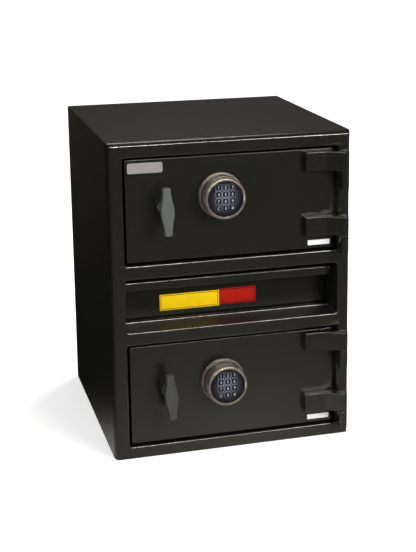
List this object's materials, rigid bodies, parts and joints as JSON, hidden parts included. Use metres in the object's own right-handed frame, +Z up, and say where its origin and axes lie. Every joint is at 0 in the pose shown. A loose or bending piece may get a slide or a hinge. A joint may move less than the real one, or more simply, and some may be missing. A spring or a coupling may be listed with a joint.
{
  "type": "drop safe",
  "caption": "Upright steel drop safe: a tip-out deposit drawer between an upper and a lower compartment, each behind a strap-hinged door with a T-handle and a round keypad.",
  "frame": {"origin": "centre of the underside of the floor plate, between the body's four side faces", "axes": "+X to the right seen from the front, +Y from the front to the back, +Z up"},
  "size_m": [0.508, 0.554, 0.6604],
  "materials": {
    "powder_coat": "glossy textured powder coat",
    "handle_paint": "satin paint",
    "satin_nickel": "brushed",
    "key_rubber": "satin",
    "zinc_steel": "zinc plated",
    "tray_steel": "satin"
  },
  "bodies": {
    "body": {"body_wrap": "powder_coat", "back_plate": "powder_coat", "floor_plate": "powder_coat", "front_frame": "powder_coat", "upper_shelf": "powder_coat", "recess_liner": "powder_coat", "drawer_rod": "zinc_steel", "drop_guard": "powder_coat", "upper_hinge_1_knuckle": "powder_coat", "upper_hinge_2_knuckle": "powder_coat", "lower_hinge_1_knuckle": "powder_coat", "lower_hinge_2_knuckle": "powder_coat"},
    "drawer": {"drawer_front": "powder_coat", "drawer_tray": "tray_steel"},
    "upper_door": {"upper_door_plate": "powder_coat", "upper_hinge_1_strap": "powder_coat", "upper_hinge_2_strap": "powder_coat", "upper_boltwork_cover": "powder_coat", "upper_lock_case": "zinc_steel", "upper_keypad_base": "satin_nickel"},
    "upper_handle": {"upper_handle": "handle_paint", "upper_handle_cam": "zinc_steel"},
    "upper_bolts": {"upper_bolt_bar": "zinc_steel"},
    "upper_keypad": {"upper_keypad_housing": "satin_nickel"},
    "upper_lock_bolt": {"upper_lock_bolt": "zinc_steel"},
    "upper_key_1": {"upper_key_1": "key_rubber"},
    "upper_key_2": {"upper_key_2": "key_rubber"},
    "upper_key_3": {"upper_key_3": "key_rubber"},
    "upper_key_4": {"upper_key_4": "key_rubber"},
    "upper_key_5": {"upper_key_5": "key_rubber"},
    "upper_key_6": {"upper_key_6": "key_rubber"},
    "upper_key_7": {"upper_key_7": "key_rubber"},
    "upper_key_8": {"upper_key_8": "key_rubber"},
    "upper_key_9": {"upper_key_9": "key_rubber"},
    "upper_key_clear": {"upper_key_clear": "key_rubber"},
    "upper_key_0": {"upper_key_0": "key_rubber"},
    "upper_key_enter": {"upper_key_enter": "key_rubber"},
    "lower_door": {"lower_door_plate": "powder_coat", "lower_hinge_1_strap": "powder_coat", "lower_hinge_2_strap": "powder_coat", "lower_boltwork_cover": "powder_coat", "lower_lock_case": "zinc_steel", "lower_keypad_base": "satin_nickel"},
    "lower_handle": {"lower_handle": "handle_paint", "lower_handle_cam": "zinc_steel"},
    "lower_bolts": {"lower_bolt_bar": "zinc_steel"},
    "lower_keypad": {"lower_keypad_housing": "satin_nickel"},
    "lower_lock_bolt": {"lower_lock_bolt": "zinc_steel"},
    "lower_key_1": {"lower_key_1": "key_rubber"},
    "lower_key_2": {"lower_key_2": "key_rubber"},
    "lower_key_3": {"lower_key_3": "key_rubber"},
    "lower_key_4": {"lower_key_4": "key_rubber"},
    "lower_key_5": {"lower_key_5": "key_rubber"},
    "lower_key_6": {"lower_key_6": "key_rubber"},
    "lower_key_7": {"lower_key_7": "key_rubber"},
    "lower_key_8": {"lower_key_8": "key_rubber"},
    "lower_key_9": {"lower_key_9": "key_rubber"},
    "lower_key_clear": {"lower_key_clear": "key_rubber"},
    "lower_key_0": {"lower_key_0": "key_rubber"},
    "lower_key_enter": {"lower_key_enter": "key_rubber"}
  },
  "joints": [
    {"name": "drawer_tip", "type": "hinge", "parent": "body", "child": "drawer", "pos_m": [0, -0.17, 0.284], "axis": [1, 0, 0], "range_deg": [0, 58]},
    {"name": "upper_door_swing", "type": "hinge", "parent": "body", "child": "upper_door", "pos_m": [0.231, -0.279, 0.5192], "axis": [0, 0, 1], "range_deg": [0, 180]},
    {"name": "upper_handle_turn", "type": "hinge", "parent": "upper_door", "child": "upper_handle", "pos_m": [-0.143, -0.287, 0.5255], "axis": [0, -1, 0], "range_deg": [0, 90]},
    {"name": "upper_bolts_throw", "type": "slide", "parent": "upper_door", "child": "upper_bolts", "axis": [-1, 0, 0], "range_m": [0, 0.02]},
    {"name": "upper_keypad_turn", "type": "hinge", "parent": "upper_door", "child": "upper_keypad", "pos_m": [-0.024, -0.28, 0.543], "axis": [0, -1, 0], "range_deg": [0, 90]},
    {"name": "upper_lock_throw", "type": "slide", "parent": "upper_door", "child": "upper_lock_bolt", "axis": [-1, 0, 0], "range_m": [0, 0.01]},
    {"name": "upper_key_1_press", "type": "slide", "parent": "upper_keypad", "child": "upper_key_1", "axis": [0, 1, 0], "range_m": [0, 0.0008], "stiffness_N_per_m": 1500, "springref_m": -0.0008},
    {"name": "upper_key_2_press", "type": "slide", "parent": "upper_keypad", "child": "upper_key_2", "axis": [0, 1, 0], "range_m": [0, 0.0008], "stiffness_N_per_m": 1500, "springref_m": -0.0008},
    {"name": "upper_key_3_press", "type": "slide", "parent": "upper_keypad", "child": "upper_key_3", "axis": [0, 1, 0], "range_m": [0, 0.0008], "stiffness_N_per_m": 1500, "springref_m": -0.0008},
    {"name": "upper_key_4_press", "type": "slide", "parent": "upper_keypad", "child": "upper_key_4", "axis": [0, 1, 0], "range_m": [0, 0.0008], "stiffness_N_per_m": 1500, "springref_m": -0.0008},
    {"name": "upper_key_5_press", "type": "slide", "parent": "upper_keypad", "child": "upper_key_5", "axis": [0, 1, 0], "range_m": [0, 0.0008], "stiffness_N_per_m": 1500, "springref_m": -0.0008},
    {"name": "upper_key_6_press", "type": "slide", "parent": "upper_keypad", "child": "upper_key_6", "axis": [0, 1, 0], "range_m": [0, 0.0008], "stiffness_N_per_m": 1500, "springref_m": -0.0008},
    {"name": "upper_key_7_press", "type": "slide", "parent": "upper_keypad", "child": "upper_key_7", "axis": [0, 1, 0], "range_m": [0, 0.0008], "stiffness_N_per_m": 1500, "springref_m": -0.0008},
    {"name": "upper_key_8_press", "type": "slide", "parent": "upper_keypad", "child": "upper_key_8", "axis": [0, 1, 0], "range_m": [0, 0.0008], "stiffness_N_per_m": 1500, "springref_m": -0.0008},
    {"name": "upper_key_9_press", "type": "slide", "parent": "upper_keypad", "child": "upper_key_9", "axis": [0, 1, 0], "range_m": [0, 0.0008], "stiffness_N_per_m": 1500, "springref_m": -0.0008},
    {"name": "upper_key_clear_press", "type": "slide", "parent": "upper_keypad", "child": "upper_key_clear", "axis": [0, 1, 0], "range_m": [0, 0.0008], "stiffness_N_per_m": 1500, "springref_m": -0.0008},
    {"name": "upper_key_0_press", "type": "slide", "parent": "upper_keypad", "child": "upper_key_0", "axis": [0, 1, 0], "range_m": [0, 0.0008], "stiffness_N_per_m": 1500, "springref_m": -0.0008},
    {"name": "upper_key_enter_press", "type": "slide", "parent": "upper_keypad", "child": "upper_key_enter", "axis": [0, 1, 0], "range_m": [0, 0.0008], "stiffness_N_per_m": 1500, "springref_m": -0.0008},
    {"name": "lower_door_swing", "type": "hinge", "parent": "body", "child": "lower_door", "pos_m": [0.231, -0.279, 0.1342], "axis": [0, 0, 1], "range_deg": [0, 180]},
    {"name": "lower_handle_turn", "type": "hinge", "parent": "lower_door", "child": "lower_handle", "pos_m": [-0.143, -0.287, 0.1405], "axis": [0, -1, 0], "range_deg": [0, 90]},
    {"name": "lower_bolts_throw", "type": "slide", "parent": "lower_door", "child": "lower_bolts", "axis": [-1, 0, 0], "range_m": [0, 0.02]},
    {"name": "lower_keypad_turn", "type": "hinge", "parent": "lower_door", "child": "lower_keypad", "pos_m": [-0.024, -0.28, 0.1495], "axis": [0, -1, 0], "range_deg": [0, 90]},
    {"name": "lower_lock_throw", "type": "slide", "parent": "lower_door", "child": "lower_lock_bolt", "axis": [-1, 0, 0], "range_m": [0, 0.01]},
    {"name": "lower_key_1_press", "type": "slide", "parent": "lower_keypad", "child": "lower_key_1", "axis": [0, 1, 0], "range_m": [0, 0.0008], "stiffness_N_per_m": 1500, "springref_m": -0.0008},
    {"name": "lower_key_2_press", "type": "slide", "parent": "lower_keypad", "child": "lower_key_2", "axis": [0, 1, 0], "range_m": [0, 0.0008], "stiffness_N_per_m": 1500, "springref_m": -0.0008},
    {"name": "lower_key_3_press", "type": "slide", "parent": "lower_keypad", "child": "lower_key_3", "axis": [0, 1, 0], "range_m": [0, 0.0008], "stiffness_N_per_m": 1500, "springref_m": -0.0008},
    {"name": "lower_key_4_press", "type": "slide", "parent": "lower_keypad", "child": "lower_key_4", "axis": [0, 1, 0], "range_m": [0, 0.0008], "stiffness_N_per_m": 1500, "springref_m": -0.0008},
    {"name": "lower_key_5_press", "type": "slide", "parent": "lower_keypad", "child": "lower_key_5", "axis": [0, 1, 0], "range_m": [0, 0.0008], "stiffness_N_per_m": 1500, "springref_m": -0.0008},
    {"name": "lower_key_6_press", "type": "slide", "parent": "lower_keypad", "child": "lower_key_6", "axis": [0, 1, 0], "range_m": [0, 0.0008], "stiffness_N_per_m": 1500, "springref_m": -0.0008},
    {"name": "lower_key_7_press", "type": "slide", "parent": "lower_keypad", "child": "lower_key_7", "axis": [0, 1, 0], "range_m": [0, 0.0008], "stiffness_N_per_m": 1500, "springref_m": -0.0008},
    {"name": "lower_key_8_press", "type": "slide", "parent": "lower_keypad", "child": "lower_key_8", "axis": [0, 1, 0], "range_m": [0, 0.0008], "stiffness_N_per_m": 1500, "springref_m": -0.0008},
    {"name": "lower_key_9_press", "type": "slide", "parent": "lower_keypad", "child": "lower_key_9", "axis": [0, 1, 0], "range_m": [0, 0.0008], "stiffness_N_per_m": 1500, "springref_m": -0.0008},
    {"name": "lower_key_clear_press", "type": "slide", "parent": "lower_keypad", "child": "lower_key_clear", "axis": [0, 1, 0], "range_m": [0, 0.0008], "stiffness_N_per_m": 1500, "springref_m": -0.0008},
    {"name": "lower_key_0_press", "type": "slide", "parent": "lower_keypad", "child": "lower_key_0", "axis": [0, 1, 0], "range_m": [0, 0.0008], "stiffness_N_per_m": 1500, "springref_m": -0.0008},
    {"name": "lower_key_enter_press", "type": "slide", "parent": "lower_keypad", "child": "lower_key_enter", "axis": [0, 1, 0], "range_m": [0, 0.0008], "stiffness_N_per_m": 1500, "springref_m": -0.0008}
  ],
  "couplings": [
    {"joint": "upper_bolts_throw", "follows": "upper_handle_turn", "m_per_rad": 0.01273},
    {"joint": "upper_lock_throw", "follows": "upper_keypad_turn", "m_per_rad": 0.006366},
    {"joint": "lower_bolts_throw", "follows": "lower_handle_turn", "m_per_rad": 0.01273},
    {"joint": "lower_lock_throw", "follows": "lower_keypad_turn", "m_per_rad": 0.006366}
  ]
}
